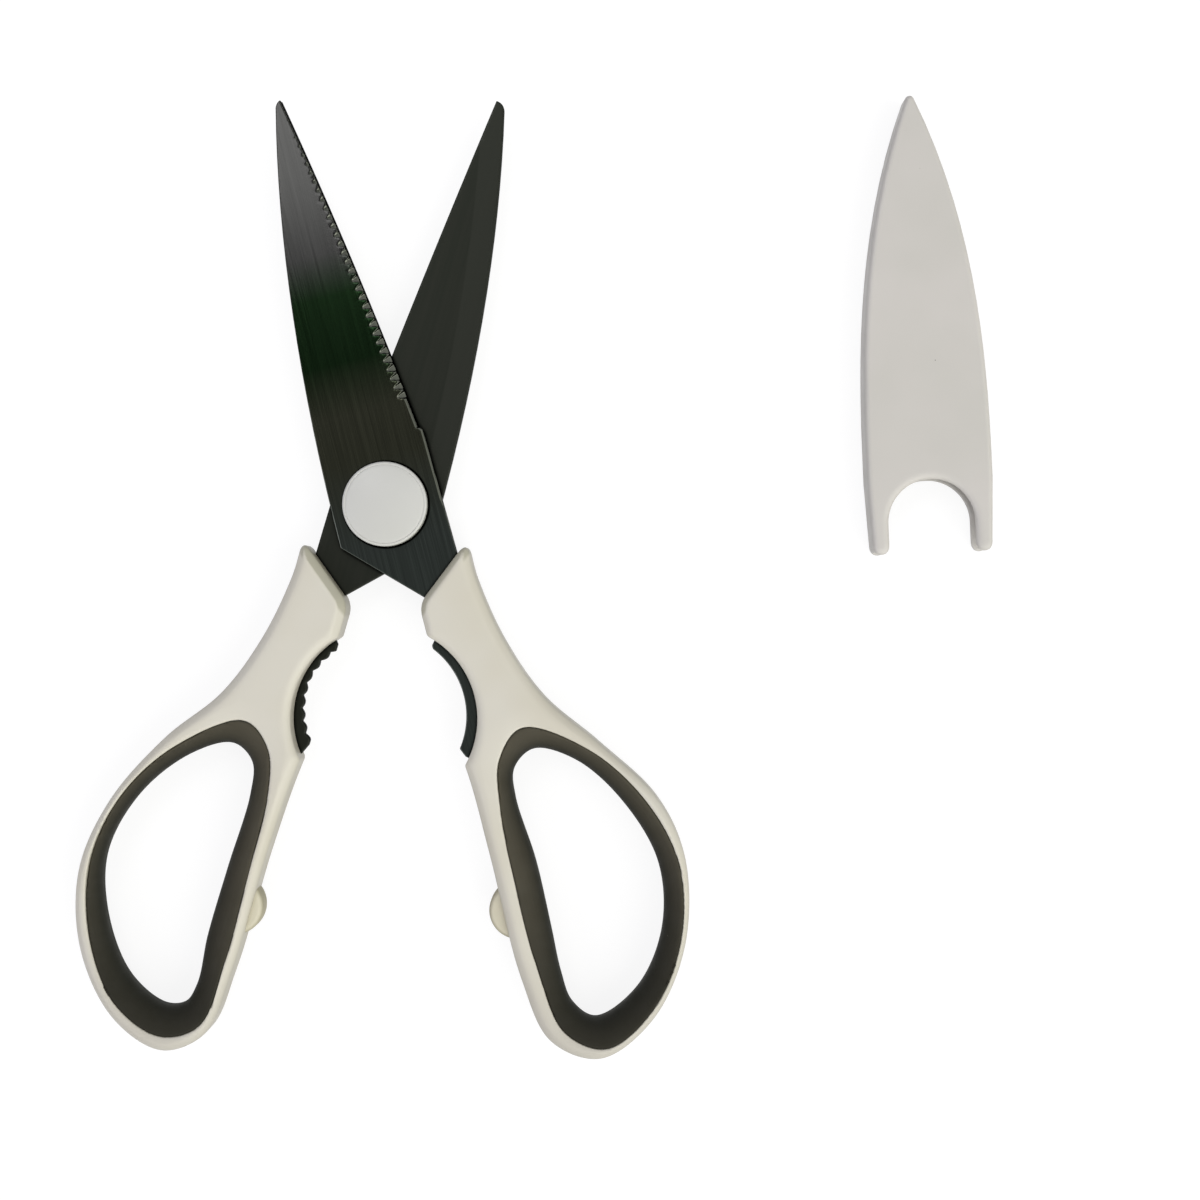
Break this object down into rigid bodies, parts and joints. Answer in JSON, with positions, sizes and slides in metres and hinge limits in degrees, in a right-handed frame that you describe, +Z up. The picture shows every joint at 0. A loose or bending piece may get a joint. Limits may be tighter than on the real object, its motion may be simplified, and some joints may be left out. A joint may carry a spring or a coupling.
{
  "type": "kitchen scissors",
  "caption": "Kitchen scissors with a serrated blade, soft-lined finger loops, nut-cracking jaws and stop bumpers, lying open beside their slip-on blade sheath.",
  "frame": {"origin": "on the pivot axis, at the rear cap's flat back, on the surface that the scissors lie on", "axes": "+Z up along the pivot axis, +Y midway between the open blades towards their tips, +X towards the right handle and the sheath"},
  "size_m": [0.1914, 0.2024, 0.012],
  "materials": {
    "blade_steel": "black coating over fine lengthwise brushing",
    "handle_plastic": "satin off-white moulding",
    "soft_liner": "matt dark olive grey",
    "bumper_rubber": "matt cream",
    "pivot_steel": "turned",
    "cap_plastic": "smooth pale grey",
    "sheath_plastic": "satin pale grey"
  },
  "bodies": {
    "front_half": {"front_blade": "blade_steel", "right_handle": "handle_plastic", "right_loop_liner": "soft_liner", "right_stop_bumper": "bumper_rubber", "pivot_screw": "pivot_steel", "pivot_nut": "pivot_steel", "tension_washer": "pivot_steel", "front_cap": "cap_plastic", "rear_cap": "cap_plastic"},
    "rear_half": {"rear_blade": "blade_steel", "left_handle": "handle_plastic", "left_loop_liner": "soft_liner", "left_stop_bumper": "bumper_rubber"},
    "sheath": {"blade_sheath": "sheath_plastic"}
  },
  "joints": [
    {"name": "blade_pivot", "type": "hinge", "parent": "front_half", "child": "rear_half", "pos_m": [0, 0, 0.006], "axis": [0, 0, -1], "range_deg": [-30.6, 60]},
    {"name": "sheath_slide", "type": "slide", "parent": "front_half", "child": "sheath", "axis": [-0.0558, 0.9984, 0], "range_m": [0, 0.095]}
  ]
}
